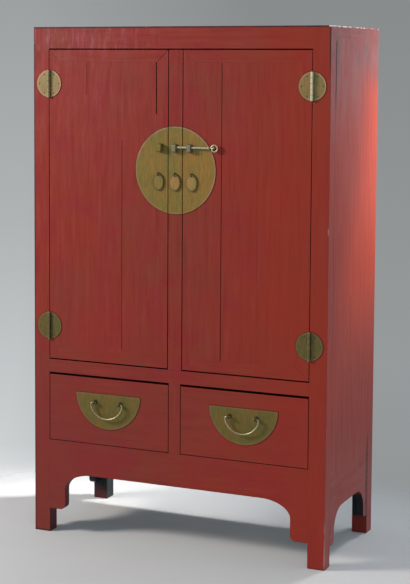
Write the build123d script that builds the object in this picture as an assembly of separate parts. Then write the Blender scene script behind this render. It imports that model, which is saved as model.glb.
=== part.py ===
from build123d import *
import math
import os

# A two-door wedding cabinet over two drawers, in millimetres. +X is to the right, -Y is to the
# front and +Z is up. The origin is on the floor, under the middle of the cabinet's box.

# Overall
WIDTH = 1100.0
DEPTH = 514.0              # front plane to the back of the rear posts
HEIGHT = 1800.0

# Posts
POST_W = 61.0              # front posts, across the front
POST_D = 50.0              # front posts, front to back
REAR_POST = 55.0           # rear posts, square
POST_ROUND = 3.0           # outer upright edges, worn round

# Rails, and the tenons that hold them in the posts
TOP_RAIL_H = 75.0
TOP_RAIL_D = 32.0
SIDE_RAIL_H = 42.0
RAIL_D = 30.0
MIDDLE_RAIL_TOP = 627.0
MIDDLE_RAIL_H = 46.0
MIDDLE_RAIL_D = 40.0
REAR_BEARER_H = 40.0
REAR_BEARER_D = 25.0
LOWER_RAIL_H = 56.0
DRAWER_SILL = 336.0        # top of the front apron, under the drawers
TENON_L = 22.0
TENON_T = 10.0
TENON_SET = 9.0            # from the show face to the tenon
SHOULDER = 10.0            # tenon shoulder above and below
STOP_H = 10.0              # lip of the top rail that the doors close against
STOP_GAP = 0.8

# Aprons and their arches
APRON_T = 30.0
APRON_EDGE_Z = 220.0
APRON_FOOT_Z = 86.0
APRON_FOOT_W = 62.0
APRON_CURVE_W = 107.0
APRON_CURVE_H = 60.0
APRON_CORNER_R = 20.0
SIDE_APRON_T = 25.0
SIDE_APRON_TOP = 300.0
SIDE_EDGE_Z = 181.0
SIDE_FOOT_Z = 68.0
SIDE_FOOT_W = 43.0
SIDE_CURVE_W = 80.0
SIDE_CURVE_H = 75.0

# Panels and boards
PANEL_T = 16.0
TONGUE = 7.0
TONGUE_T = 6.0
TONGUE_SET = 4.0
SIDE_BOARD_W = 190.0       # front board of each side panel
TOP_PANEL_T = 14.0
TOP_PANEL_SINK = 2.0
BACK_T = 10.0
BACK_INSET = 8.0
BACK_BOARDS = 3
FLOOR_T = 16.0
SHELF_T = 18.0
SHELF_TOP = 1150.0
SHELF_SETBACK = 60.0
CLEAT = 24.0
BATTEN_W = 36.0
BATTEN_T = 10.0
TOP_BATTEN_X = 180.0
TOP_BATTEN_T = 20.0

# Seams that have opened with age
SEAM_DEPTH = 5.0
SIDE_SEAM_W = 1.2          # in the cabinet's sides
SHORT_SEAM_W = 1.0
SHORT_SEAM_L = 113.5       # down from the top of the left door's panel, between its outer boards
STILE_SEAM_W = 3.5
STILE_SEAM_L = 174.5       # down from the same top, beside the lock stile
LONG_SEAM_W = 1.4
LONG_SEAM_FOOT = 8.5       # panel's foot to the low end of the left door's long seam
LONG_SEAM_HEAD = 266.5     # its high end to the panel's top
RIGHT_SEAM_W = 2.2         # in the right door's panel, from top to foot
MITRE_GAP = 1.6            # at the top of the left door, where the lock stile meets the rail

# Centre stile, which lifts out, and the muntin between the drawers
STILE_W = 50.5
STILE_T = 24.6
STRIP_LAP = 10.0           # how far the stop strip behind it passes the doors' edges
STRIP_T = 9.0
STILE_LIFT = 4.0
STILE_TENON_W = 30.0
STILE_TENON_T = 10.0
STILE_TENON_FIT = 0.3
STILE_TOP_TENON = 12.0
MUNTIN_W = 43.0
MUNTIN_D = 30.0

# Gaps
SEAT = 0.3                 # a moving wooden piece over what it rests on
SIDE_GAP = 2.5
CENTRE_GAP = 3.0           # each side of the centre stile
DOOR_TOP_GAP = 4.5
DOOR_BOTTOM_GAP = 4.5
DRAWER_TOP_GAP = 8.0

# Doors
DOOR_T = 24.0
FRAME_W = 42.0
DOOR_PANEL_T = 14.0
LEFT_BOARDS = (131.8, 136.0)       # boards from the lock stile on; the last one takes the rest
RIGHT_BOARDS = (98.0, 130.0)
LOW_BATTEN_RISE = 258.5            # door's foot to the middle of its low batten
HIGH_BATTEN_DROP = 270.5           # door's top to the middle of its high batten

# Hinges
LOW_HINGE_RISE = 116.5     # door's foot to the middle of its low hinge
HIGH_HINGE_DROP = 117.5    # door's top to the middle of its high hinge
HINGE_R = 47.5
BRASS_T = 1.6
KNUCKLES = 5
BARREL_L = 93.0
BARREL_R = 5.0
BARREL_OUT = 5.5           # hinge axis in front of the front plane
HINGE_PIN_R = 2.5
HINGE_FIT = 0.05
NOTCH = 1.0
PIN_HEAD_R = 3.8
PIN_HEAD_T = 1.8
NAIL_R = 1.1
NAIL_L = 12.0
NAIL_HEAD_R = 2.4
NAIL_HEAD_H = 1.1
NAIL_ANGLES = (30.0, 90.0, 150.0)
NAIL_EDGE = 10.0

# Round lock plate, its lugs and the lock pin
LOCK_PLATE_R = 149.0
LOCK_PLATE_DROP = 406.5    # doors' top to the middle of the plate
LUG_X = 55.0
LUG_W = 14.0
LUG_RISE = 62.0            # middle of the plate to the foot of the lugs
LUG_H = 27.0
LUG_OUT = 17.0
LUG_CORNER = 6.0
PIN_DROP = 10.0            # top of the lugs to the pin's axis
PIN_OUT = 9.2              # pin axis in front of the plates
PIN_R = 4.0
PIN_PLAY = 0.5
PIN_TIP_GAP = 1.5          # drawn pin, clear of the centre lug
PIN_REACH = 4.0            # how far the pushed-in pin enters the far lug
PIN_TAPER = 6.0
COLLAR_R = 5.5
COLLAR_T = 4.0
COLLAR_GAP = 3.0           # left between collar and lug when the pin is in
SCROLL_R = 11.0
SCROLL_INNER_R = 6.0
SCROLL_RISE_R = 10.0
SCROLL_RISE_TURN = 60.0
SCROLL_TURN = 270.0
SCROLL_INNER_TURN = 170.0
SCROLL_WIRE_R = 2.8
SHANK_W = 8.0
SHANK_H = 6.0
CLINCH_H = 18.0
CLINCH_T = 2.0

# Pendant pulls and their eyes
PENDANT_X = 62.0
PENDANT_DROP = 12.0        # middle of the plate to the top of a pendant
PENDANT_W = 41.0
PENDANT_H = 58.0
PENDANT_T = 2.2
PENDANT_ROUND = 0.8        # its front edge
PENDANT_HOLE_R = 1.6
PENDANT_HOLE_DROP = 8.0
PENDANT_OFF = 3.0          # back of a hanging pendant to the plate
EYE_R = 5.5
EYE_WIRE_R = 1.2
EYE_SHANK_R = 1.6
EYE_WASHER_R = 4.0
EYE_WASHER_T = 1.2

# Drawers
DRAWER_FRONT_T = 22.0
DRAWER_SIDE_T = 12.0
DRAWER_BOTTOM_T = 8.0
DRAWER_BACK_GAP = 24.0     # behind a closed drawer, to the rear rail
BOX_TOP_GAP = 39.7         # drawer box to the underside of the middle rail
BOX_GAP = 4.0              # drawer side to the edge of its opening
GROOVE = 6.0
GROOVE_Z = 10.0
RUNNER_T = 22.0
RUNNER_W = 24.0            # bearing under each drawer side
RUNNER_TENON = 8.0
GUIDE_H = 14.0
GUIDE_GAP = 1.0

# Half-moon handle plates, their posts and the bails
HANDLE_R = 125.0
HANDLE_EDGE_Z = 519.0
BAIL_Z = 489.0
BAIL_OUT = 12.0            # bail axis in front of the plate
POST_SPACING = 98.0
BAIL_W = 127.0
BAIL_DROP = 56.0
BAIL_R = 3.0
BAIL_FIT = 0.05
BAIL_CORNER_R = 6.0
BAIL_SIDE_R = 34.0
BAIL_TIP = 3.5             # end of the bail past the post's inner face
HANDLE_EYE_R = 6.0
HANDLE_EYE_L = 7.0
HANDLE_NECK_R = 3.0
HANDLE_ROSE_R = 8.0
HANDLE_ROSE_T = 1.5
HANDLE_SHANK_R = 2.6
HANDLE_WASHER_R = 7.0

# Places that follow from the sizes above
REACH = BRASS_T + BAIL_OUT + HANDLE_EYE_R      # how far the bails' posts stand proud
FRONT = -(DEPTH - REACH) / 2                   # front plane
BACK = FRONT + DEPTH
PLATE_FRONT = FRONT - BRASS_T
HALF = WIDTH / 2
OPENING = HALF - POST_W                        # half of the front opening
OPENING_TOP = HEIGHT - TOP_RAIL_H
MIDDLE_RAIL_BOTTOM = MIDDLE_RAIL_TOP - MIDDLE_RAIL_H
SIDE_PANEL_TOP = HEIGHT - SIDE_RAIL_H
PANEL_INSIDE = HALF - PANEL_T
SIDE_SPAN = (FRONT + POST_D, BACK - REAR_POST)
BACK_PANEL = (BACK - BACK_INSET - BACK_T, BACK - BACK_INSET)
FLOOR_BOTTOM = MIDDLE_RAIL_TOP - FLOOR_T
REAR_BEARER = (BACK_PANEL[0] - REAR_BEARER_D, BACK_PANEL[0])
TENON_Y = (FRONT + TENON_SET, FRONT + TENON_SET + TENON_T)
SIDE_TENON_X = (HALF - TENON_SET - TENON_T, HALF - TENON_SET)
HINGE_X = OPENING - SIDE_GAP / 2
HINGE_Y = FRONT - BARREL_OUT
DOOR_OUTER = OPENING - SIDE_GAP
DOOR_INNER = STILE_W / 2 + CENTRE_GAP
DOOR_BOTTOM = MIDDLE_RAIL_TOP + DOOR_BOTTOM_GAP
DOOR_TOP = OPENING_TOP - DOOR_TOP_GAP
DOOR_BACK = FRONT + DOOR_T
STILE_BACK = FRONT + STILE_T + STRIP_T         # back of the stop strip
PANEL_LOW = DOOR_BOTTOM + FRAME_W
PANEL_HIGH = DOOR_TOP - FRAME_W
DOOR_BATTEN_Z = (DOOR_BOTTOM + LOW_BATTEN_RISE, DOOR_TOP - HIGH_BATTEN_DROP)
HINGE_Z = (DOOR_BOTTOM + LOW_HINGE_RISE, DOOR_TOP - HIGH_HINGE_DROP)
LOCK_PLATE_Z = DOOR_TOP - LOCK_PLATE_DROP
LUG_BOTTOM = LOCK_PLATE_Z + LUG_RISE
LUG_TOP = LUG_BOTTOM + LUG_H
PIN_Z = LUG_TOP - PIN_DROP
PIN_Y = PLATE_FRONT - PIN_OUT
PENDANT_TOP = LOCK_PLATE_Z - PENDANT_DROP
PENDANT_Y = PLATE_FRONT - PENDANT_OFF - PENDANT_T / 2
EYE_Z = PENDANT_TOP - PENDANT_HOLE_DROP + EYE_R
BAIL_Y = PLATE_FRONT - BAIL_OUT
DRAWER_X = (OPENING + MUNTIN_W / 2) / 2        # middle of each drawer opening
DRAWER_HALF = (OPENING - MUNTIN_W / 2) / 2 - SIDE_GAP
BOX_HALF = (OPENING - MUNTIN_W / 2) / 2 - BOX_GAP
BOX_BOTTOM = DRAWER_SILL + SEAT
PIN_REST_TIP = LUG_W / 2 + PIN_TIP_GAP
PIN_HOME_TIP = -(LUG_X - LUG_W / 2 + PIN_REACH)
PIN_TRAVEL = PIN_REST_TIP - PIN_HOME_TIP
PIN_SHANK = LUG_X + LUG_W / 2 + COLLAR_GAP - PIN_HOME_TIP

nodes = {}


def block(x, y, z):
    """A box between three (low, high) pairs."""
    size = [high - low for low, high in (x, y, z)]
    middle = [(low + high) / 2 for low, high in (x, y, z)]
    return Pos(*middle) * Box(*size)


def rod(radius, start, end):
    """A round bar between two points that lie on a line along one axis."""
    axis = Vector(*end) - Vector(*start)
    return extrude(Plane(origin=start, z_dir=axis.normalized()) * Circle(radius), axis.length)


def rect(x, z):
    """A rectangle between two (low, high) pairs."""
    middle = Pos((x[0] + x[1]) / 2, (z[0] + z[1]) / 2)
    return middle * Rectangle(x[1] - x[0], z[1] - z[0])


def front_plate(sketch, y, thickness):
    """A flat piece drawn in X and Z, with its front face at y."""
    return extrude(Plane.XZ.offset(-(y + thickness)) * sketch, thickness)


def cut(pieces, tools):
    """The solids of pieces, less the tools."""
    result = []
    for piece in pieces:
        for tool in tools:
            piece = piece - tool
        result += piece.solids()
    return result


def mirrored(pieces):
    return [mirror(piece, about=Plane.YZ) for piece in pieces]


def for_side(side, pieces):
    """Pieces drawn on the right, put on the side that is named."""
    return list(pieces) if side == "right" else mirrored(pieces)


def both(pieces):
    return list(pieces) + mirrored(pieces)


def front_rail(z, depth):
    """A rail between the front posts, flush with the front, with a tenon at each end."""
    rail = block((-OPENING, OPENING), (FRONT, FRONT + depth), z)
    tenon = block((-OPENING - TENON_L, OPENING + TENON_L), TENON_Y, (z[0] + SHOULDER, z[1] - SHOULDER))
    return rail + tenon


def rear_rail(z, y):
    """A rail between the rear posts."""
    inside = HALF - REAR_POST
    middle = (y[0] + y[1]) / 2
    tenon_y = (middle - TENON_T / 2, middle + TENON_T / 2)
    rail = block((-inside, inside), y, z)
    return rail + block((-inside - TENON_L, inside + TENON_L), tenon_y, (z[0] + SHOULDER, z[1] - SHOULDER))


def side_rail(z, thickness):
    """A rail between the right front post and the right rear post, flush with the side."""
    rail = block((HALF - thickness, HALF), SIDE_SPAN, z)
    span = (SIDE_SPAN[0] - TENON_L, SIDE_SPAN[1] + TENON_L)
    return rail + block(SIDE_TENON_X, span, (z[0] + SHOULDER, z[1] - SHOULDER))


def arch(half_width, foot_width, edge_z, curve_w, curve_h):
    """The opening under an apron: a flat top edge that bends down into two straight sides."""
    inner = half_width - foot_width
    spring = edge_z - curve_h
    opening = rect((curve_w - inner, inner - curve_w), (0, edge_z)) + rect((-inner, inner), (0, spring))
    for x in (curve_w - inner, inner - curve_w):
        opening += Pos(x, spring) * Ellipse(curve_w, curve_h)
    return opening


def apron_face(half_width, top, foot_z, foot_width, edge_z, curve_w, curve_h, corner_r):
    """An apron with its two spandrels, whose lower inside corners are rounded."""
    opening = arch(half_width, foot_width, edge_z, curve_w, curve_h)
    face = rect((-half_width, half_width), (foot_z, top)) - opening
    inner = half_width - foot_width
    for sign in (-1, 1):
        x = sorted((sign * inner, sign * (inner + corner_r)))
        corner = rect(x, (foot_z, foot_z + corner_r))
        face -= corner - Pos(sign * (inner + corner_r), foot_z + corner_r) * Circle(corner_r)
    return face


def seam(x, z, width):
    """A narrow open seam, cut into the front from x on."""
    return block((x, x + width), (FRONT, FRONT + SEAM_DEPTH), z)


def side_seam(y, z):
    """A narrow open seam, cut into the right side."""
    return block((HALF - SEAM_DEPTH, HALF), (y - SIDE_SEAM_W / 2, y + SIDE_SEAM_W / 2), z)


def tongued_board(x, y, z, ends):
    """A side board with tongues top and bottom, and at the front or back edge where ends says so."""
    tongue_x = (HALF - TONGUE_SET - TONGUE_T, HALF - TONGUE_SET)
    tongue_y = (y[0] - TONGUE * ends[0], y[1] + TONGUE * ends[1])
    return block(x, y, z) + block(tongue_x, tongue_y, (z[0] - TONGUE, z[1] + TONGUE))


# ---- Carcass ---------------------------------------------------------------------------------

def rounded_post(x, y, edge):
    """A right-hand post with its outer upright edge rounded: the front one for edge 0, the rear one for -1."""
    post = block(x, y, (0, HEIGHT))
    outer = post.edges().filter_by(Axis.Z).group_by(Axis.X)[-1].sort_by(Axis.Y)
    return fillet(outer[edge], POST_ROUND)


def make_carcass():
    front_post = rounded_post((OPENING, HALF), (FRONT, FRONT + POST_D), 0)
    rear_post = rounded_post((HALF - REAR_POST, HALF), (BACK - REAR_POST, BACK), -1)
    posts = both([front_post, rear_post])

    top_front = front_rail((OPENING_TOP, HEIGHT), TOP_RAIL_D)
    stop_y = (DOOR_BACK + STOP_GAP, FRONT + TOP_RAIL_D)
    top_front += block((-OPENING, OPENING), stop_y, (OPENING_TOP - STOP_H, OPENING_TOP))
    middle_rail = front_rail((MIDDLE_RAIL_BOTTOM, MIDDLE_RAIL_TOP), MIDDLE_RAIL_D)
    top_rear = rear_rail((SIDE_PANEL_TOP, HEIGHT), (BACK - RAIL_D, BACK))
    lower_rear = rear_rail((DRAWER_SILL - LOWER_RAIL_H, DRAWER_SILL), (BACK - RAIL_D, BACK))
    bearer = rear_rail((FLOOR_BOTTOM - REAR_BEARER_H, FLOOR_BOTTOM), REAR_BEARER)
    top_side = side_rail((SIDE_PANEL_TOP, HEIGHT), RAIL_D)

    apron = apron_face(OPENING, DRAWER_SILL, APRON_FOOT_Z, APRON_FOOT_W, APRON_EDGE_Z,
                       APRON_CURVE_W, APRON_CURVE_H, APRON_CORNER_R)
    front_apron = front_plate(apron, FRONT, APRON_T)
    apron_tenon_z = (APRON_EDGE_Z + SHOULDER, DRAWER_SILL - SHOULDER)
    front_apron += block((-OPENING - TENON_L, OPENING + TENON_L), TENON_Y, apron_tenon_z)

    side_half = (SIDE_SPAN[1] - SIDE_SPAN[0]) / 2
    side_middle = (SIDE_SPAN[0] + SIDE_SPAN[1]) / 2
    side_face = apron_face(side_half, SIDE_APRON_TOP, SIDE_FOOT_Z, SIDE_FOOT_W, SIDE_EDGE_Z,
                           SIDE_CURVE_W, SIDE_CURVE_H, APRON_CORNER_R)
    side_inside = Plane.YZ.offset(HALF - SIDE_APRON_T)
    side_apron = extrude(side_inside * Pos(side_middle, 0) * side_face, SIDE_APRON_T)
    side_tenon_y = (SIDE_SPAN[0] - TENON_L, SIDE_SPAN[1] + TENON_L)
    side_apron += block(SIDE_TENON_X, side_tenon_y, (SIDE_EDGE_Z + SHOULDER, SIDE_APRON_TOP - SHOULDER))

    seam_y = SIDE_SPAN[0] + SIDE_BOARD_W
    panel_z = (SIDE_APRON_TOP, SIDE_PANEL_TOP)
    panel_x = (PANEL_INSIDE, HALF)
    side_boards = [tongued_board(panel_x, (SIDE_SPAN[0], seam_y), panel_z, (1, 0)),
                   tongued_board(panel_x, (seam_y, SIDE_SPAN[1]), panel_z, (0, 1))]

    back_x = HALF - REAR_POST + TONGUE
    back_z = (DRAWER_SILL - TONGUE, SIDE_PANEL_TOP + TONGUE)
    board_w = 2 * back_x / BACK_BOARDS
    back_boards = [block((i * board_w - back_x, (i + 1) * board_w - back_x), BACK_PANEL, back_z)
                   for i in range(BACK_BOARDS)]

    top_z = (HEIGHT - TOP_PANEL_SINK - TOP_PANEL_T, HEIGHT - TOP_PANEL_SINK)
    inside_x = HALF - RAIL_D
    top_y = (FRONT + TOP_RAIL_D, BACK - RAIL_D)
    tongue_z = (top_z[0] + TONGUE_SET, top_z[0] + TONGUE_SET + TONGUE_T)
    top_panel = block((-inside_x, inside_x), top_y, top_z)
    tongue_y = (top_y[0] - TONGUE, top_y[1] + TONGUE)
    top_panel += block((-inside_x - TONGUE, inside_x + TONGUE), tongue_y, tongue_z)
    top_panel = cut([top_panel], posts)
    batten_x = (TOP_BATTEN_X - BATTEN_W / 2, TOP_BATTEN_X + BATTEN_W / 2)
    top_battens = both([block(batten_x, tongue_y, (top_z[0] - TOP_BATTEN_T, top_z[0]))])

    floor_y = (FRONT + MIDDLE_RAIL_D, BACK_PANEL[0])
    floor = block((-PANEL_INSIDE, PANEL_INSIDE), floor_y, (FLOOR_BOTTOM, MIDDLE_RAIL_TOP))
    floor_tongue_z = (FLOOR_BOTTOM + TONGUE_SET, FLOOR_BOTTOM + TONGUE_SET + TONGUE_T)
    floor += block((-OPENING, OPENING), (floor_y[0] - TONGUE, floor_y[0]), floor_tongue_z)
    floor = cut([floor], posts)
    shelf = block((-PANEL_INSIDE, PANEL_INSIDE), (FRONT + SHELF_SETBACK, BACK_PANEL[0]),
                  (SHELF_TOP - SHELF_T, SHELF_TOP))
    shelf = cut([shelf], posts)
    cleat_z = (SHELF_TOP - SHELF_T - CLEAT, SHELF_TOP - SHELF_T)
    cleat = block((PANEL_INSIDE - CLEAT, PANEL_INSIDE), SIDE_SPAN, cleat_z)
    cleats = cut(both([cleat]), posts)

    runners = make_runners(posts)

    muntin_x = (-MUNTIN_W / 2, MUNTIN_W / 2)
    muntin = block(muntin_x, (FRONT, FRONT + MUNTIN_D), (DRAWER_SILL, MIDDLE_RAIL_BOTTOM))
    muntin += block((muntin_x[0] + SHOULDER, muntin_x[1] - SHOULDER), TENON_Y,
                    (DRAWER_SILL - RUNNER_TENON, MIDDLE_RAIL_BOTTOM + RUNNER_TENON))

    stile_sockets = make_stile(STILE_TENON_FIT)[1]
    side_pieces = both([top_side, side_apron] + side_boards)
    front_pieces = [top_front, middle_rail, front_apron]
    rear_pieces = [top_rear, lower_rear, bearer] + back_boards
    posts = cut(posts, front_pieces + rear_pieces + side_pieces)
    names = ["front_right_post", "rear_right_post", "front_left_post", "rear_left_post"]
    for name, post in zip(names, posts):
        nodes[name] = [post]

    nodes["top_front_rail"] = cut([top_front], top_panel + top_battens + stile_sockets)
    nodes["middle_rail"] = cut([middle_rail], floor + [muntin] + stile_sockets)
    nodes["front_apron"] = cut([front_apron], [muntin] + runners)
    nodes["top_rear_rail"] = cut([top_rear], back_boards + top_panel + top_battens)
    nodes["lower_rear_rail"] = cut([lower_rear], back_boards + runners)
    nodes["middle_rear_rail"] = [bearer]
    for side in ("left", "right"):
        boards = for_side(side, side_boards)
        nodes[side + "_top_rail"] = cut(for_side(side, [top_side]), boards + top_panel)
        apron_seam = side_seam(SIDE_SPAN[1], (SIDE_FOOT_Z, SIDE_APRON_TOP - SHOULDER))
        nodes[side + "_apron"] = cut(for_side(side, cut([side_apron], [apron_seam])), boards)
        open_seams = [side_seam(SIDE_SPAN[0], (MIDDLE_RAIL_TOP, SIDE_PANEL_TOP)),
                      side_seam(seam_y, (MIDDLE_RAIL_TOP, (MIDDLE_RAIL_TOP + SHELF_TOP) / 2))]
        nodes[side + "_side_panel"] = for_side(side, cut(side_boards, open_seams))
    nodes["back_panel"] = back_boards
    nodes["top_panel"] = top_panel
    nodes["top_battens"] = top_battens
    nodes["cupboard_floor"] = floor
    nodes["shelf"] = shelf
    nodes["shelf_cleats"] = cleats
    nodes["drawer_runners"] = runners
    nodes["drawer_muntin"] = [muntin]


def make_runners(posts):
    """An L runner at each side and a T runner in the middle, tenoned into apron and rear rail."""
    span = (FRONT + APRON_T, BACK - RAIL_D)
    tenon_span = (span[0] - RUNNER_TENON, span[1] + RUNNER_TENON)
    z = (DRAWER_SILL - RUNNER_T, DRAWER_SILL)
    tenon_z = (z[0] + TONGUE_SET, z[1] - TONGUE_SET)
    guide_z = (DRAWER_SILL, DRAWER_SILL + GUIDE_H)
    guide_span = (FRONT + MUNTIN_D, REAR_BEARER[0])
    outer_edge = DRAWER_X + BOX_HALF
    inner_edge = DRAWER_X - BOX_HALF
    outer = block((outer_edge - RUNNER_W, PANEL_INSIDE), span, z)
    outer += block((outer_edge + GUIDE_GAP, PANEL_INSIDE), guide_span, guide_z)
    outer += block((outer_edge - RUNNER_W, outer_edge), tenon_span, tenon_z)
    middle = block((-inner_edge - RUNNER_W, inner_edge + RUNNER_W), span, z)
    middle += block((GUIDE_GAP - inner_edge, inner_edge - GUIDE_GAP), guide_span, guide_z)
    middle += block((-inner_edge, inner_edge), tenon_span, tenon_z)
    return cut(both([outer]) + [middle], posts)


# ---- Centre stile ----------------------------------------------------------------------------

def make_stile(fit):
    """The lift-out stile, the stop strip glued behind it, and the two sockets that its tenons slide in."""
    bottom = MIDDLE_RAIL_TOP + SEAT
    top = DOOR_TOP
    tenon_y = (FRONT + TENON_SET, FRONT + TENON_SET + STILE_TENON_T)
    tenon_x = (-STILE_TENON_W / 2, STILE_TENON_W / 2)
    foot = bottom - STILE_LIFT + SEAT
    stile = block((-STILE_W / 2, STILE_W / 2), (FRONT, FRONT + STILE_T), (bottom, top))
    stile += block(tenon_x, tenon_y, (foot, top + STILE_TOP_TENON))
    strip_half = DOOR_INNER + STRIP_LAP
    strip_top = OPENING_TOP - STOP_H - STILE_LIFT - SIDE_GAP
    strip = block((-strip_half, strip_half), (FRONT + STILE_T, STILE_BACK), (bottom, strip_top))
    socket_x = (tenon_x[0] - fit, tenon_x[1] + fit)
    socket_y = (tenon_y[0] - fit, tenon_y[1] + fit)
    low = block(socket_x, socket_y, (foot - SEAT, MIDDLE_RAIL_TOP))
    high = block(socket_x, socket_y, (OPENING_TOP - STOP_H, top + STILE_TOP_TENON + STILE_LIFT + SEAT))
    return [stile, strip], [low, high]


# ---- Doors -----------------------------------------------------------------------------------

def mitred(points, y):
    """A frame member with mitred ends, from its outline in X and Z."""
    return front_plate(make_face(Polyline(*points, close=True).edges()), y, DOOR_T)


def door_frame():
    """The right door's stiles, rails, panel boards' space and battens."""
    x0, x1, z0, z1 = DOOR_INNER, DOOR_OUTER, DOOR_BOTTOM, DOOR_TOP
    w = FRAME_W
    lock_stile = mitred([(x0, z0), (x0 + w, z0 + w), (x0 + w, z1 - w), (x0, z1)], FRONT)
    hinge_stile = mitred([(x1, z0), (x1 - w, z0 + w), (x1 - w, z1 - w), (x1, z1)], FRONT)
    tenon_x = (x0 + w - TENON_L, x1 - w + TENON_L)
    rails = []
    for outer, inner in ((z0, z0 + w), (z1, z1 - w)):
        rail = mitred([(x0, outer), (x1, outer), (x1 - w, inner), (x0 + w, inner)], FRONT)
        middle = (outer + inner) / 2
        tenon_z = sorted((inner, middle))
        rails.append(rail + block(tenon_x, TENON_Y, tenon_z))
    panel_y = (FRONT, FRONT + DOOR_PANEL_T)
    tongue_y = (FRONT + TONGUE_SET, FRONT + TONGUE_SET + TONGUE_T)
    batten_y = (panel_y[1], panel_y[1] + BATTEN_T)
    battens = [block((x0 + w - TONGUE, x1 - w + TONGUE), batten_y, (z - BATTEN_W / 2, z + BATTEN_W / 2))
               for z in DOOR_BATTEN_Z]
    stiles = cut([lock_stile, hinge_stile], rails + battens)
    inside = (x0 + w, x1 - w, z0 + w, z1 - w)
    return stiles, rails, battens, panel_y, tongue_y, inside


def open_mitre():
    """The gap that has opened in the mitre at the top of a lock stile."""
    slot = Box(FRAME_W * math.sqrt(2), 2 * SEAM_DEPTH, MITRE_GAP)
    return Pos(DOOR_INNER + FRAME_W / 2, FRONT, DOOR_TOP - FRAME_W / 2) * Rot(0, 45, 0) * slot


def panel_boards(widths, panel_y, tongue_y, inside):
    """The panel's upright boards, tongued into the frame all round."""
    x0, x1, z0, z1 = inside
    edges = [x0 + sum(widths[:i]) for i in range(len(widths) + 1)] + [x1]
    boards = []
    for low, high in zip(edges, edges[1:]):
        tongue_x = (low - TONGUE * (low == x0), high + TONGUE * (high == x1))
        board = block((low, high), panel_y, (z0, z1))
        boards.append(board + block(tongue_x, tongue_y, (z0 - TONGUE, z1 + TONGUE)))
    return boards


def hinge_leaf(z, on_door):
    """Half of a round hinge plate with its knuckles, and the hole for its pin."""
    step = BARREL_L / KNUCKLES
    disc = Pos(HINGE_X, z) * Circle(HINGE_R)
    half = (HINGE_X - HINGE_R, HINGE_X) if on_door else (HINGE_X, HINGE_X + HINGE_R)
    leaf = front_plate(disc & rect(half, (z - HINGE_R, z + HINGE_R)), PLATE_FRONT, BRASS_T)
    notch_half = BARREL_R + NOTCH
    edge = (z - HINGE_R, z + HINGE_R)
    bore = HINGE_PIN_R + (HINGE_FIT if on_door else 0)
    leaf -= block((HINGE_X - notch_half, HINGE_X + notch_half), (PLATE_FRONT, FRONT), edge)
    for i in range(KNUCKLES):
        if (i % 2 == 1) != on_door:
            continue
        low = z - BARREL_L / 2 + i * step + NOTCH / 2
        high = low + step - NOTCH
        arm = (HINGE_X - notch_half, HINGE_X) if on_door else (HINGE_X, HINGE_X + notch_half)
        leaf += block(arm, (PLATE_FRONT, FRONT), (low, high))
        leaf += rod(BARREL_R, (HINGE_X, HINGE_Y, low), (HINGE_X, HINGE_Y, high))
    return leaf - rod(bore, (HINGE_X, HINGE_Y, edge[0]), (HINGE_X, HINGE_Y, edge[1]))


def hinge_pin(z):
    low, high = z - BARREL_L / 2, z + BARREL_L / 2
    pin = rod(HINGE_PIN_R, (HINGE_X, HINGE_Y, low), (HINGE_X, HINGE_Y, high))
    pin += rod(PIN_HEAD_R, (HINGE_X, HINGE_Y, low - PIN_HEAD_T), (HINGE_X, HINGE_Y, low))
    return pin + rod(PIN_HEAD_R, (HINGE_X, HINGE_Y, high), (HINGE_X, HINGE_Y, high + PIN_HEAD_T))


def nail(x, z):
    """A domed nail through the brass and into the wood."""
    centre = PLATE_FRONT - NAIL_HEAD_H
    ball_r = (NAIL_HEAD_R ** 2 + NAIL_HEAD_H ** 2) / (2 * NAIL_HEAD_H)
    dome = Pos(x, centre + ball_r, z) * Sphere(ball_r)
    head_x = (x - NAIL_HEAD_R, x + NAIL_HEAD_R)
    head = block(head_x, (centre, PLATE_FRONT), (z - NAIL_HEAD_R, z + NAIL_HEAD_R))
    return (dome & head) + rod(NAIL_R, (x, PLATE_FRONT, z), (x, FRONT + NAIL_L, z))


def hinge_nails(z, on_door):
    """Nails round the rim of one half of a hinge plate."""
    radius = HINGE_R - NAIL_EDGE
    sign = -1 if on_door else 1
    return [nail(HINGE_X + sign * radius * math.sin(math.radians(a)), z + radius * math.cos(math.radians(a)))
            for a in NAIL_ANGLES]


def lug(x, back):
    """A lug with a square eye for the lock pin, and a shank clinched behind."""
    profile = rect((PLATE_FRONT - LUG_OUT, PLATE_FRONT), (LUG_BOTTOM, LUG_TOP))
    body = extrude(Plane.YZ.offset(x - LUG_W / 2) * profile, LUG_W)
    outer = body.edges().filter_by(Axis.X).group_by(Axis.Y)[0]
    body = fillet(outer, LUG_CORNER)
    eye = PIN_R + PIN_PLAY
    eye_z = PIN_Z + PIN_PLAY - SEAT
    body -= block((x - LUG_W / 2, x + LUG_W / 2), (PIN_Y - eye, PIN_Y + eye), (eye_z - eye, eye_z + eye))
    middle = (LUG_BOTTOM + LUG_TOP) / 2
    body += block((x - SHANK_W / 2, x + SHANK_W / 2), (PLATE_FRONT, back + CLINCH_T),
                  (middle - SHANK_H / 2, middle + SHANK_H / 2))
    return body + block((x - SHANK_W / 2, x + SHANK_W / 2), (back, back + CLINCH_T),
                        (middle - CLINCH_H / 2, middle + CLINCH_H / 2))


def pendant_eye(x, back):
    """A ring in the YZ plane, on a shank that passes through plate and wood."""
    ring = Pos(x, PENDANT_Y, EYE_Z) * Rot(0, 90, 0) * Torus(EYE_R, EYE_WIRE_R)
    start = PENDANT_Y + EYE_R
    shank = rod(EYE_SHANK_R, (x, start, EYE_Z), (x, back + EYE_WASHER_T, EYE_Z))
    washer = rod(EYE_WASHER_R, (x, back, EYE_Z), (x, back + EYE_WASHER_T, EYE_Z))
    return ring + shank + washer


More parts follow.
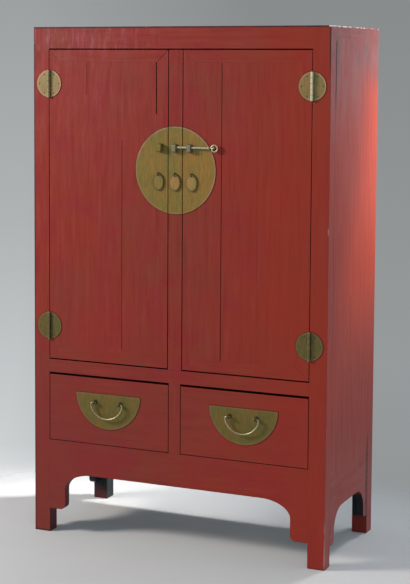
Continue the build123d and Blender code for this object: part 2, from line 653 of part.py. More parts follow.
def pendant(x):
    """An oval pull, with its hole near the top."""
    outline = Pos(x, PENDANT_TOP - PENDANT_H / 2) * Ellipse(PENDANT_W / 2, PENDANT_H / 2)
    oval = front_plate(outline, PENDANT_Y - PENDANT_T / 2, PENDANT_T)
    oval = fillet(oval.edges().group_by(Axis.Y)[0], PENDANT_ROUND)
    hole_z = PENDANT_TOP - PENDANT_HOLE_DROP
    return oval - rod(PENDANT_HOLE_R, (x, PENDANT_Y - PENDANT_T, hole_z), (x, PENDANT_Y + PENDANT_T, hole_z))


def lock_plate(x):
    """The part of the round plate between two upright cuts."""
    disc = Pos(0, LOCK_PLATE_Z) * Circle(LOCK_PLATE_R)
    span = (LOCK_PLATE_Z - LOCK_PLATE_R, LOCK_PLATE_Z + LOCK_PLATE_R)
    return front_plate(disc & rect(x, span), PLATE_FRONT, BRASS_T)


def make_door(side, widths, seams, mitres):
    """One door with its hinge leaves, lock plate and pull, from the widths of its panel's boards, and the
    gaps that have opened in its panel and in its frame's mitres."""
    stiles, rails, battens, panel_y, tongue_y, inside = door_frame()
    boards = panel_boards(widths, panel_y, tongue_y, inside)
    stiles = cut(stiles, boards + mitres)
    rails = cut(rails, boards + mitres)
    boards = cut(boards, seams)
    leaves = [hinge_leaf(z, True) for z in HINGE_Z]
    nails = [piece for z in HINGE_Z for piece in hinge_nails(z, True)]
    staples = [lug(LUG_X, DOOR_BACK), pendant_eye(PENDANT_X, DOOR_BACK)]
    stiles = cut(stiles, nails + staples)
    boards = cut(boards, nails + staples)
    pieces = {
        "stiles": stiles,
        "rails": rails,
        "panel": boards,
        "battens": battens,
        "hinge_leaves": cut(leaves, nails),
        "hinge_nails": nails,
        "lock_plate": cut([lock_plate((DOOR_INNER, LOCK_PLATE_R))], staples),
        "lock_staples": staples,
    }
    for name, solids in pieces.items():
        nodes[side + "_door_" + name] = for_side(side, solids)
    nodes[side + "_pendant"] = for_side(side, [pendant(PENDANT_X)])


def make_centre():
    """The centre stile with its strip of the round plate, its lug, and its own pull."""
    staples = [lug(0, STILE_BACK), pendant_eye(0, STILE_BACK)]
    nodes["centre_stile"] = cut(make_stile(0)[0], staples)
    nodes["centre_lock_plate"] = cut([lock_plate((-STILE_W / 2, STILE_W / 2))], staples)
    nodes["centre_lock_staples"] = staples
    nodes["centre_pendant"] = [pendant(0)]


def make_post_hinges():
    """The hinge halves, pins and nails that stay on the posts."""
    nails = [piece for z in HINGE_Z for piece in hinge_nails(z, False)]
    leaves = [hinge_leaf(z, False) for z in HINGE_Z]
    nodes["post_hinge_leaves"] = both(cut(leaves, nails))
    nodes["post_hinge_nails"] = both(nails)
    nodes["hinge_pins"] = both([hinge_pin(z) for z in HINGE_Z])
    for side in ("left", "right"):
        name = "front_" + side + "_post"
        nodes[name] = cut(nodes[name], for_side(side, nails))


def lock_pin():
    """The sliding pin: a tapered tip, a straight shank, a collar and a forged scroll."""
    tip = PIN_REST_TIP
    end = tip + PIN_SHANK
    cone_plane = Plane(origin=(tip, PIN_Y, PIN_Z), z_dir=(1, 0, 0))
    cone = cone_plane * Pos(0, 0, PIN_TAPER / 2) * Cone(PIN_R / 2, PIN_R, PIN_TAPER)
    pin = cone + rod(PIN_R, (tip + PIN_TAPER, PIN_Y, PIN_Z), (end, PIN_Y, PIN_Z))
    pin += rod(COLLAR_R, (end, PIN_Y, PIN_Z), (end + COLLAR_T, PIN_Y, PIN_Z))

    start = end + COLLAR_T
    rise = math.radians(SCROLL_RISE_TURN)
    bend = (start + SCROLL_RISE_R * math.sin(rise), SCROLL_RISE_R * (1 - math.cos(rise)))
    hub = (bend[0] + SCROLL_R * math.sin(rise), bend[1] - SCROLL_R * math.cos(rise))
    hub_start = 90 + SCROLL_RISE_TURN
    inner_start = math.radians(hub_start - SCROLL_TURN)
    step = SCROLL_R - SCROLL_INNER_R
    inner_hub = (hub[0] + step * math.cos(inner_start), hub[1] + step * math.sin(inner_start))
    sheet = Plane(origin=(0, PIN_Y, PIN_Z), x_dir=(1, 0, 0), z_dir=(0, -1, 0))
    path = sheet * Wire([
        CenterArc((start, SCROLL_RISE_R), SCROLL_RISE_R, -90, SCROLL_RISE_TURN),
        CenterArc(hub, SCROLL_R, hub_start, -SCROLL_TURN),
        CenterArc(inner_hub, SCROLL_INNER_R, hub_start - SCROLL_TURN, -SCROLL_INNER_TURN),
    ])
    section = Plane(origin=(start, PIN_Y, PIN_Z), z_dir=(1, 0, 0)) * Circle(SCROLL_WIRE_R)
    return pin + sweep(section, path=path)


# ---- Drawers ---------------------------------------------------------------------------------

def drawer_wood():
    """The right drawer's front, and the box behind it."""
    front_x = (DRAWER_X - DRAWER_HALF, DRAWER_X + DRAWER_HALF)
    front_z = (DRAWER_SILL + SIDE_GAP, MIDDLE_RAIL_BOTTOM - DRAWER_TOP_GAP)
    front = block(front_x, (FRONT, FRONT + DRAWER_FRONT_T), front_z)

    box_x = (DRAWER_X - BOX_HALF, DRAWER_X + BOX_HALF)
    box_y = (FRONT + DRAWER_FRONT_T, REAR_BEARER[0] - DRAWER_BACK_GAP)
    box_z = (BOX_BOTTOM, MIDDLE_RAIL_BOTTOM - BOX_TOP_GAP)
    inner_x = (box_x[0] + DRAWER_SIDE_T, box_x[1] - DRAWER_SIDE_T)
    sides = []
    for x in ((box_x[0], inner_x[0]), (inner_x[1], box_x[1])):
        side = block(x, box_y, box_z)
        tongue_z = (front_z[0] + SHOULDER, box_z[1] - SHOULDER)
        sides.append(side + block(x, (box_y[0] - TONGUE, box_y[0]), tongue_z))
    back = block(inner_x, (box_y[1] - DRAWER_SIDE_T, box_y[1]), box_z)
    bottom_z = (BOX_BOTTOM + GROOVE_Z, BOX_BOTTOM + GROOVE_Z + DRAWER_BOTTOM_T)
    bottom = block((inner_x[0] - GROOVE, inner_x[1] + GROOVE),
                   (box_y[0] - GROOVE, box_y[1] - DRAWER_SIDE_T + GROOVE), bottom_z)
    front = cut([front], sides + [bottom])
    return front, cut(sides + [back], [bottom]) + [bottom]


def bail():
    """A swinging handle: straight tips through the posts, then tangent arcs."""
    half = BAIL_W / 2 - BAIL_R
    tip = POST_SPACING / 2 - HANDLE_EYE_L / 2 - BAIL_TIP
    excess = BAIL_CORNER_R + BAIL_SIDE_R - BAIL_DROP
    step = -((half - BAIL_SIDE_R) ** 2 + excess ** 2) / (2 * excess)
    bottom_r = BAIL_SIDE_R + step
    side_turn = math.degrees(math.acos((half - BAIL_SIDE_R) / step))
    hub_z = step * math.sin(math.radians(side_turn)) - BAIL_CORNER_R
    corner_x = half - BAIL_CORNER_R
    side_x = half - BAIL_SIDE_R
    sheet = Plane(origin=(DRAWER_X, BAIL_Y, BAIL_Z), x_dir=(1, 0, 0), z_dir=(0, -1, 0))
    path = sheet * Wire([
        Line((-tip, 0), (-corner_x, 0)),
        CenterArc((-corner_x, -BAIL_CORNER_R), BAIL_CORNER_R, 90, 90),
        CenterArc((-side_x, -BAIL_CORNER_R), BAIL_SIDE_R, 180, side_turn),
        CenterArc((0, hub_z), bottom_r, 180 + side_turn, 180 - 2 * side_turn),
        CenterArc((side_x, -BAIL_CORNER_R), BAIL_SIDE_R, -side_turn, side_turn),
        CenterArc((corner_x, -BAIL_CORNER_R), BAIL_CORNER_R, 0, 90),
        Line((corner_x, 0), (tip, 0)),
    ])
    start = Plane(origin=(DRAWER_X - tip, BAIL_Y, BAIL_Z), z_dir=(-1, 0, 0))
    return sweep(start * Circle(BAIL_R), path=path)


def handle_post(x):
    """A post with an eye for one end of the bail, riveted through the drawer front."""
    eye_x = (x - HANDLE_EYE_L / 2, x + HANDLE_EYE_L / 2)
    eye = rod(HANDLE_EYE_R, (eye_x[0], BAIL_Y, BAIL_Z), (eye_x[1], BAIL_Y, BAIL_Z))
    inside = FRONT + DRAWER_FRONT_T
    post = eye + rod(HANDLE_NECK_R, (x, BAIL_Y, BAIL_Z), (x, PLATE_FRONT, BAIL_Z))
    post += rod(HANDLE_ROSE_R, (x, PLATE_FRONT - HANDLE_ROSE_T, BAIL_Z), (x, PLATE_FRONT, BAIL_Z))
    post += rod(HANDLE_SHANK_R, (x, PLATE_FRONT, BAIL_Z), (x, inside + HANDLE_ROSE_T, BAIL_Z))
    post += rod(HANDLE_WASHER_R, (x, inside, BAIL_Z), (x, inside + HANDLE_ROSE_T, BAIL_Z))
    hole = BAIL_R + BAIL_FIT
    return post - rod(hole, (x - HANDLE_EYE_R, BAIL_Y, BAIL_Z), (x + HANDLE_EYE_R, BAIL_Y, BAIL_Z))


def make_drawers():
    front, box = drawer_wood()
    half_moon = Pos(DRAWER_X, HANDLE_EDGE_Z) * Circle(HANDLE_R)
    half_moon &= rect((DRAWER_X - HANDLE_R, DRAWER_X + HANDLE_R), (HANDLE_EDGE_Z - HANDLE_R, HANDLE_EDGE_Z))
    posts = [handle_post(DRAWER_X + sign * POST_SPACING / 2) for sign in (-1, 1)]
    pieces = {
        "drawer_front": cut(front, posts),
        "drawer_box": box,
        "handle_plate": cut([front_plate(half_moon, PLATE_FRONT, BRASS_T)], posts),
        "handle_posts": posts,
        "bail": [bail()],
    }
    for side in ("left", "right"):
        for name, solids in pieces.items():
            nodes[side + "_" + name] = for_side(side, solids)


def make_doors():
    """The two doors, each with the seams that have opened in it."""
    lock_stile_edge = DOOR_INNER + FRAME_W
    long_seam_z = (PANEL_LOW + LONG_SEAM_FOOT, PANEL_HIGH - LONG_SEAM_HEAD)
    left_seams = [
        seam(lock_stile_edge, (PANEL_HIGH - STILE_SEAM_L, PANEL_HIGH), STILE_SEAM_W),
        seam(lock_stile_edge + LEFT_BOARDS[0], long_seam_z, LONG_SEAM_W),
        seam(lock_stile_edge + sum(LEFT_BOARDS), (PANEL_HIGH - SHORT_SEAM_L, PANEL_HIGH), SHORT_SEAM_W),
    ]
    right_seam = seam(lock_stile_edge + RIGHT_BOARDS[0], (PANEL_LOW, PANEL_HIGH), RIGHT_SEAM_W)
    make_door("left", LEFT_BOARDS, left_seams, [open_mitre()])
    make_door("right", RIGHT_BOARDS, [right_seam], [])


make_carcass()
make_centre()
make_doors()
make_post_hinges()
nodes["lock_pin"] = [lock_pin()]
make_drawers()

os.makedirs("parts", exist_ok=True)
for name, pieces in nodes.items():
    solids = [solid for piece in pieces for solid in piece.solids()]
    export_step(Compound(children=solids), "parts/" + name + ".step")
print(len(nodes), "nodes written; the lock pin travels", PIN_TRAVEL, "mm")
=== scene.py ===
"""The looks of a two-door wedding cabinet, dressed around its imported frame.

Metres, in the frame of the part: +X right, -Y front, +Z up, origin on the floor under the middle.
"""
import math

import bpy
from mathutils import Matrix, Vector


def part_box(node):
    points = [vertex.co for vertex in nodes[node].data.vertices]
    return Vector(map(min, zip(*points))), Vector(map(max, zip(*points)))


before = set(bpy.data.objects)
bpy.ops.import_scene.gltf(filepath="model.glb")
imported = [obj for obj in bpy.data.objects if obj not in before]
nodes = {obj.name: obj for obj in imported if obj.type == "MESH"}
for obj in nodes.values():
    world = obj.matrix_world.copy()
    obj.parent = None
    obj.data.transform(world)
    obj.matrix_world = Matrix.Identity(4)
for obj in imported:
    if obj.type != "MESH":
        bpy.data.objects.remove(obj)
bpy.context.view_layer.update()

# ---- Places, from the frame ------------------------------------------------------------------
POST_LOW, POST_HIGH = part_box("front_right_post")
FRONT = POST_LOW.y
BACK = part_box("rear_right_post")[1].y
HALF = POST_HIGH.x
HEIGHT = POST_HIGH.z
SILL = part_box("front_apron")[1].z

# Where the side panels meet the posts.
FRONT_JOINT = POST_HIGH.y
REAR_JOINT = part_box("rear_right_post")[0].y

# The round lock plate, the hinge plates and the half-moons behind the handles.
PLATE_LOW, PLATE_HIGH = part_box("left_door_lock_plate")
PLATE_Z = (PLATE_LOW.z + PLATE_HIGH.z) / 2
PLATE_R = -PLATE_LOW.x
PLATE_FRONT = PLATE_LOW.y

POST_LEAF_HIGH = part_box("post_hinge_leaves")[1]
DOOR_LEAF_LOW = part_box("right_door_hinge_leaves")[0]
HINGE_X = (POST_LEAF_HIGH.x + DOOR_LEAF_LOW.x) / 2
HINGE_R = (POST_LEAF_HIGH.x - DOOR_LEAF_LOW.x) / 2
HINGE_Z = (DOOR_LEAF_LOW.z + HINGE_R, POST_LEAF_HIGH.z - HINGE_R)

MOON_LOW, MOON_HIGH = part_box("right_handle_plate")
MOON_X = (MOON_LOW.x + MOON_HIGH.x) / 2
MOON_R = (MOON_HIGH.x - MOON_LOW.x) / 2
MOON_EDGE = MOON_HIGH.z

# The brass plates as discs in the plane of the front: x, z and radius.
LOCK_DISC = [(0.0, PLATE_Z, PLATE_R)]
HINGE_DISCS = [(side * HINGE_X, z, HINGE_R) for side in (-1, 1) for z in HINGE_Z]
MOON_DISCS = [(side * MOON_X, MOON_EDGE, MOON_R) for side in (-1, 1)]
DOOR_DISCS = LOCK_DISC + HINGE_DISCS

# ---- Heights at which the finish changes -----------------------------------------------------
# The lower edge of the top rail, a knock on the front right edge, and the middle rail.
TOP_RAIL_EDGE = (HEIGHT - 0.085, HEIGHT - 0.075)
KNOCK_Z = 1.13
DRAWER_GAPS_BELOW = (0.59, 0.57)

# The front joints of the sides open above the first of these, and the rear ones below the second.
FRONT_JOINT_OPENS = 1.44
REAR_JOINT_OPENS = (0.40, 0.30)

# The heights between which the inward faces turn black, on most pieces.
BLACK_FROM = (0.060, 0.076)

LEFT, RIGHT, UP, DOWN = (-1, 0, 0), (1, 0, 0), (0, 0, 1), (0, 0, -1)
FORWARD, BACKWARD = (0, -1, 0), (0, 1, 0)
ROUND = (LEFT, RIGHT, UP, DOWN)

# ---- Colours, linear -------------------------------------------------------------------------
# Lacquer on the front.
RED = (0.250, 0.024, 0.013)
RED_BROWN = (0.212, 0.029, 0.016)
CRIMSON = (0.240, 0.016, 0.018)
VERMILION = (0.285, 0.022, 0.008)
RED_DULL = (0.150, 0.022, 0.022)
RED_DARK = (0.085, 0.010, 0.010)
BLOOM = (0.36, 0.105, 0.120)

# Lacquer on the sides.
SIDE_RED = (0.300, 0.035, 0.023)
SIDE_RED_DEEP = (0.270, 0.03325, 0.02185)
# A pale bloom on the sides, partly a painted sheen.
SIDE_BLOOM_SHEEN = (0.255, 0.102, 0.099)
SIDE_GREY = (0.140, 0.070, 0.072)
# A painted glow of warm light, towards the back of the right side.
CORAL_GLOW = (0.415, 0.050, 0.026)

# Wear, dirt, painted shade in gaps and along edges, and the black inward faces.
WORN_RED = (0.34, 0.090, 0.075)
WORN_PALE = (0.36, 0.170, 0.160)
EDGE_SHADE = (0.055, 0.014, 0.020)
JOINT_RED = (0.150, 0.012, 0.0104)
GESSO = (0.72, 0.66, 0.60)
GRIME_AND_SHADE = (0.016, 0.005, 0.005)
BLACK = (0.008, 0.012, 0.014)

# Brass.
PLATE_BRASS = (0.250, 0.150, 0.034)
MOON_BRASS = (0.180, 0.116, 0.026)
HINGE_PALE = (0.31, 0.205, 0.090)
HINGE_MID = (0.275, 0.176, 0.064)
HINGE_DARK = (0.150, 0.100, 0.026)
# A painted highlight on the hinge barrels.
BARREL_HIGHLIGHT = (0.56, 0.46, 0.30)
PIN_BRASS = (0.50, 0.43, 0.29)
GREY_BRASS = (0.26, 0.205, 0.130)
TAN_BRASS = (0.36, 0.200, 0.062)
GREEN_BRASS = (0.25, 0.165, 0.043)
BAIL_BRASS = (0.44, 0.36, 0.22)
STUD_BRASS = (0.085, 0.062, 0.028)
BRASS_DARK = (0.040, 0.028, 0.012)
# Pale rims of the brass plates, partly rubbed and partly a painted highlight.
RIM_HIGHLIGHT = (0.37, 0.190, 0.105)
RIM_DULL = (0.27, 0.140, 0.072)
HINGE_RIM_HIGHLIGHT = (0.4995, 0.247, 0.1365)

# What varies the brass, as factors of its colour.
OLIVE_TINT = (0.80, 0.97, 0.95)
WARM_TINT = (1.18, 1.02, 1.05)
BROWN_TINT = (1.0, 0.80, 0.66)
DULL_TINT = (0.74, 0.77, 0.72)
BRIGHT_TINT = (1.20, 1.06, 1.0)

# Softwood.
WOOD = (0.235, 0.135, 0.070)
WOOD_DARK = (0.130, 0.070, 0.036)


# ---- Shader nodes ----------------------------------------------------------------------------

class Tree:
    """A tree of shader nodes, made with short calls. A value may be a socket, a number or a colour."""

    def __init__(self, tree):
        self.tree = tree
        self.tree.nodes.clear()

    def put(self, socket, value):
        if isinstance(value, bpy.types.NodeSocket):
            self.tree.links.new(value, socket)
        elif socket.type == "RGBA" and len(value) == 3:
            socket.default_value = (*value, 1.0)
        else:
            socket.default_value = value

    def add(self, kind, inputs=(), **settings):
        node = self.tree.nodes.new(kind)
        for key, value in settings.items():
            setattr(node, key, value)
        for key, value in dict(inputs).items():
            self.put(node.inputs[key], value)
        return node

    def math(self, operation, a, b=0.0):
        return self.add("ShaderNodeMath", {0: a, 1: b}, operation=operation).outputs[0]

    def chain(self, operation, values):
        """The values joined by operation, one after another."""
        result = values[0]
        for value in values[1:]:
            result = self.math(operation, result, value)
        return result

    def plus(self, *values):
        return self.chain("ADD", values)

    def minus(self, *values):
        return self.chain("SUBTRACT", values)

    def times(self, *values):
        return self.chain("MULTIPLY", values)

    def most(self, *values):
        return self.chain("MAXIMUM", values)

    def least(self, *values):
        return self.chain("MINIMUM", values)

    def mix(self, factor, a, b, blend="MIX"):
        node = self.add("ShaderNodeMix", data_type="RGBA", blend_type=blend)
        for index, value in ((0, factor), (6, a), (7, b)):
            self.put(node.inputs[index], value)
        return node.outputs[2]


class Surface(Tree):
    """The nodes of one material, with the place and the direction of the point that is shaded."""

    def __init__(self, name):
        self.material = bpy.data.materials.new(name)
        self.material.use_nodes = True
        super().__init__(self.material.node_tree)
        coordinates = self.add("ShaderNodeTexCoord")
        self.place = coordinates.outputs["Object"]
        self.normal = coordinates.outputs["Normal"]
        self.x, self.y, self.z = self.add("ShaderNodeSeparateXYZ", {0: self.place}).outputs

    def measure(self, operation, *vectors):
        """The number that a vector operation gives, such as a distance."""
        node = self.add("ShaderNodeVectorMath", dict(enumerate(vectors)), operation=operation)
        return node.outputs["Value"]

    def stretch(self, factors, shift=(0.0, 0.0, 0.0)):
        """The object's own coordinates, times factors, so that a noise is drawn out along an axis."""
        inputs = {0: self.place, 1: factors, 2: shift}
        return self.add("ShaderNodeVectorMath", inputs, operation="MULTIPLY_ADD").outputs[0]

    def noise(self, vector, scale, detail=3.0, roughness=0.55, distortion=0.0):
        inputs = {"Vector": vector, "Scale": scale, "Detail": detail, "Roughness": roughness,
                  "Distortion": distortion}
        return self.add("ShaderNodeTexNoise", inputs).outputs["Fac"]

    def remap(self, value, low, high, to_low=0.0, to_high=1.0):
        """Eases from to_low to to_high as value goes from low to high."""
        inputs = {"Value": value, "From Min": low, "From Max": high, "To Min": to_low, "To Max": to_high}
        return self.add("ShaderNodeMapRange", inputs, interpolation_type="SMOOTHSTEP").outputs["Result"]

    def facing(self, *directions):
        """1 on faces that look along one of the directions, 0 on the others."""
        return self.most(*[self.remap(self.measure("DOT_PRODUCT", self.normal, direction), 0.5, 0.8)
                           for direction in directions])

    def outside(self, discs):
        """How far a point of the front lies outside the nearest of the discs, less than 0 inside."""
        flat = self.stretch((1.0, 0.0, 1.0))
        return self.least(*[self.minus(self.measure("DISTANCE", flat, (x, 0.0, z)), radius)
                            for x, z, radius in discs])

    def outer_edges(self, width):
        """1 along the edges of the whole cabinet's box, where two of its sides meet, 0 elsewhere."""
        near = [self.remap(self.math("ABSOLUTE", self.x), HALF - width, HALF - width / 2),
                self.remap(self.y, FRONT + width, FRONT + width / 2),
                self.remap(self.y, BACK - width, BACK - width / 2),
                self.remap(self.z, HEIGHT - width, HEIGHT - width / 2),
                self.remap(self.z, width, width / 2)]
        return self.remap(self.plus(*near), 1.3, 1.9)

    def crevice(self, distance):
        """Near 1 in gaps and where pieces meet, 0 in the open."""
        light = self.add("ShaderNodeAmbientOcclusion", {"Distance": distance}, samples=8).outputs["AO"]
        return self.remap(light, 0.92, 0.35)

    def rounded(self, radius):
        """The surface normal with its edges rounded off."""
        return self.add("ShaderNodeBevel", {"Radius": radius}, samples=6).outputs[0]

    def bump(self, height, strength, distance, normal=None):
        inputs = {"Height": height, "Strength": strength, "Distance": distance}
        if normal is not None:
            inputs["Normal"] = normal
        return self.add("ShaderNodeBump", inputs).outputs["Normal"]

    def principled(self, **values):
        """The shader, with _ for each space in the names of its values."""
        inputs = {key.replace("_", " "): value for key, value in values.items()}
        return self.add("ShaderNodeBsdfPrincipled", inputs).outputs[0]

    def finish(self, shader):
        self.add("ShaderNodeOutputMaterial", {0: shader})
        return self.material


# How far noise is drawn out along the grain, by the axis that the grain follows.
GRAIN = {"x": (1.0, 16.0, 16.0), "y": (16.0, 1.0, 16.0), "z": (16.0, 16.0, 1.0)}


def finer(grain, factor, along=1.0):
    """The grain's stretch, times factor across the grain and along in its direction."""
    return tuple(factor * value if value > 1 else along for value in GRAIN[grain])


# ---- Lacquer ---------------------------------------------------------------------------------

def front_colour(g, grain):
    """Crimson to brownish lacquer, finely streaked along the grain."""
    broad = g.noise(g.place, 2.6, 2.0)
    patch = g.noise(g.stretch((1.0, 1.0, 1.0), (7.0, 3.0, 5.0)), 9.0, 4.0, 0.6)
    streak = g.noise(g.stretch(finer(grain, 0.8)), 5.0, 4.0, 0.6)
    fine = g.noise(g.stretch(finer(grain, 3.2)), 9.0, 3.0, 0.65, 0.2)
    colour = g.mix(g.remap(broad, 0.35, 0.65), RED_BROWN, RED)
    colour = g.mix(g.remap(patch, 0.45, 0.70, 0.0, 0.7), colour, CRIMSON)
    colour = g.mix(g.remap(streak, 0.50, 0.30, 0.0, 0.16), colour, RED_DARK)
    colour = g.mix(g.remap(streak, 0.55, 0.75, 0.0, 0.10), colour, WORN_RED)
    colour = g.mix(g.remap(fine, 0.54, 0.72, 0.0, 0.42), colour, RED_DARK)

    # Warmer to the right, and duller low on the left.
    warm = g.times(g.remap(g.x, 0.05, 0.50, 0.0, 0.65), g.remap(g.z, 0.2, 0.6, 0.45, 1.0))
    colour = g.mix(warm, colour, VERMILION)
    dull = g.times(g.remap(g.x, 0.2, -0.5), g.remap(g.z, 0.9, 0.3), 0.40)
    colour = g.mix(dull, colour, RED_DULL)

    # A little bloom at the top left, in upright strokes, most of all on the top rail.
    strokes = g.noise(g.stretch((16.0, 1.0, 3.0), (2.0, 9.0, 4.0)), 4.0, 5.0, 0.65, 0.6)
    corner = g.times(g.remap(g.x, 0.10, -0.40), g.remap(g.z, 1.15, 1.76),
                     g.remap(g.z, *TOP_RAIL_EDGE, 0.35, 1.0))
    return g.mix(g.times(corner, g.remap(strokes, 0.46, 0.70, 0.05, 0.60)), colour, BLOOM)


def side_colour(g, grain):
    """The sides' lacquer: dulled mauve and mottled at the top, with a painted sheen there, plain red low
    down, darkened there by painted shade, and a painted coral glow of light towards the back of the right
    side."""
    broad = g.noise(g.place, 3.0, 2.0)
    haze = g.noise(g.stretch((1.0, 1.0, 0.35), (2.0, 9.0, 4.0)), 16.0, 5.0, 0.65, 0.8)
    fine = g.noise(g.stretch(finer(grain, 1.6)), 7.0, 4.0, 0.65, 0.2)
    blotch = g.noise(g.stretch((1.0, 1.0, 0.6), (6.0, 1.0, 8.0)), 17.0, 5.0, 0.6, 1.2)
    colour = g.mix(g.remap(broad, 0.35, 0.65), SIDE_RED_DEEP, SIDE_RED)

    # A painted coral glow of light in the middle heights, coming further forward lower down.
    depth = g.plus(g.y, g.remap(g.z, 1.50, 0.90, 0.0, 0.20))
    painted_glow = g.times(g.remap(depth, -0.02, 0.24), g.remap(g.z, 0.55, 0.95), g.remap(g.z, 1.72, 1.58),
                    g.remap(g.x, -0.1, 0.1))
    colour = g.mix(painted_glow, colour, CORAL_GLOW)
    colour = g.mix(g.remap(fine, 0.56, 0.74, 0.0, 0.35), colour, RED_DARK)

    # A pale veil at the top and at the foot; at the top it is partly bloom and partly a painted sheen.
    veil = g.plus(g.remap(g.z, 0.45, 1.0, 0.02, 0.10), g.remap(g.z, 1.30, 1.74, 0.0, 0.60),
                  g.remap(g.z, 0.45, 0.20, 0.0, 0.30))
    veil = g.times(veil, g.minus(1.0, g.times(painted_glow, 0.85)), g.remap(haze, 0.34, 0.62, 0.40, 1.30))
    colour = g.mix(veil, colour, SIDE_BLOOM_SHEEN)
    # Darker low down: painted shade.
    colour = g.mix(g.remap(g.z, 0.65, 0.30, 0.0, 0.14), colour, RED_DARK)
    mottling = g.times(g.remap(g.z, 1.52, 1.74), g.remap(blotch, 0.46, 0.62, 0.0, 0.65))
    return g.mix(mottling, colour, SIDE_GREY)


def worn_and_shaded_edges(g, colour):
    """Outer edges that are darkened on the front as painted shade, rubbed on the right, and chipped down to
    the pale ground.
    """
    rub = g.noise(g.place, 26.0, 4.0, 0.7)
    # The dark line along the front's outer edges, on the left and at the top, is painted shade.
    where = g.most(g.remap(g.x, 0.0, -0.1), g.remap(g.z, HEIGHT - 0.2, HEIGHT - 0.1))
    dark = g.times(g.outer_edges(0.008), g.facing(FORWARD), where, g.remap(rub, 0.3, 0.6, 0.55, 0.95))
    colour = g.mix(dark, colour, EDGE_SHADE)
    edge = g.outer_edges(0.005)
    colour = g.mix(g.times(edge, g.facing(RIGHT), g.remap(rub, 0.35, 0.6, 0.1, 0.6)), colour, WORN_RED)

    # The front right edge is palest at its foot and at a knock.
    right = g.remap(g.x, HALF - 0.015, HALF - 0.005)
    foot = g.remap(g.z, 0.20, 0.10)
    knock = g.remap(g.math("ABSOLUTE", g.minus(g.z, KNOCK_Z)), 0.014, 0.006)
    pale = g.times(edge, right, g.remap(g.y, FRONT + 0.02, FRONT), g.most(foot, knock))
    colour = g.mix(g.times(pale, g.remap(rub, 0.35, 0.55, 0.2, 0.9)), colour, WORN_PALE)

    # Most of the chips are on the top's right edge.
    flakes = g.noise(g.stretch((1.0, 1.0, 0.35), (4.0, 4.0, 1.0)), 45.0, 4.0, 0.7)
    top = g.times(right, g.remap(g.y, 0.60, 0.00), g.remap(g.z, HEIGHT - 0.010, HEIGHT))
    chips = g.remap(g.plus(flakes, g.times(top, 0.24)), 0.70, 0.74)
    return g.mix(g.times(edge, chips), colour, GESSO)


def dirt_and_shade_rings(g, colour, discs):
    """A dark line round each of the brass plates, partly dirt and partly painted shadow at their edges."""
    ring = g.remap(g.outside(discs), 0.005, 0.001)
    if discs == MOON_DISCS:
        ring = g.times(ring, g.remap(g.z, MOON_EDGE + 0.005, MOON_EDGE + 0.001))
    return g.mix(g.times(ring, g.facing(FORWARD), 0.6), colour, RED_DARK)


def lined_gaps(g, colour, gaps):
    """Dirt and painted shade in the gaps between doors, drawers and frame, red where old lacquer fills it.
    """
    filled = g.most(g.remap(g.noise(g.place, 3.5, 2.0), 0.40, 0.62, 0.0, 0.8),
                    g.times(g.remap(g.z, *DRAWER_GAPS_BELOW), g.remap(g.x, 0.3, 0.0)))
    share = g.times(g.facing(*gaps), g.remap(g.z, SILL - 0.01, SILL - 0.003))
    return g.mix(share, colour, g.mix(filled, GRIME_AND_SHADE, RED_DARK))


def open_joints(g, colour):
    """A side's upright joints: the front one opens towards the top, the rear one beside the apron."""
    width = g.remap(g.z, FRONT_JOINT_OPENS, FRONT_JOINT_OPENS + 0.18, 0.0045, 0.0085)
    share = g.times(g.remap(g.z, HEIGHT - 0.045, HEIGHT - 0.055),
                    g.remap(g.z, FRONT_JOINT_OPENS, FRONT_JOINT_OPENS + 0.14, 0.25, 0.9))
    fore = g.times(g.math("LESS_THAN", g.y, g.plus(FRONT_JOINT, width)), share)
    width = g.remap(g.z, *REAR_JOINT_OPENS, 0.0, 0.024)
    lip = g.math("GREATER_THAN", g.y, g.minus(REAR_JOINT, width))
    core = g.math("GREATER_THAN", g.y, g.minus(REAR_JOINT, g.times(width, 0.35)))
    colour = g.mix(g.times(lip, 0.75), colour, JOINT_RED)
    return g.mix(g.most(fore, g.times(core, 0.8)), colour, GRIME_AND_SHADE)


def black_inside(g, colour, black):
    """Darker on the faces that look inward, and black on them above a ragged edge."""
    ragged = g.plus(g.z, g.times(g.noise(g.stretch((4.0, 4.0, 1.0)), 22.0, 3.0), 0.016))
    for direction, (low, high) in black:
        inside = g.facing(direction)
        colour = g.mix(g.times(inside, 0.45), colour, RED_DARK)
        colour = g.mix(g.times(inside, g.remap(ragged, low, high)), colour, BLACK)
    return colour


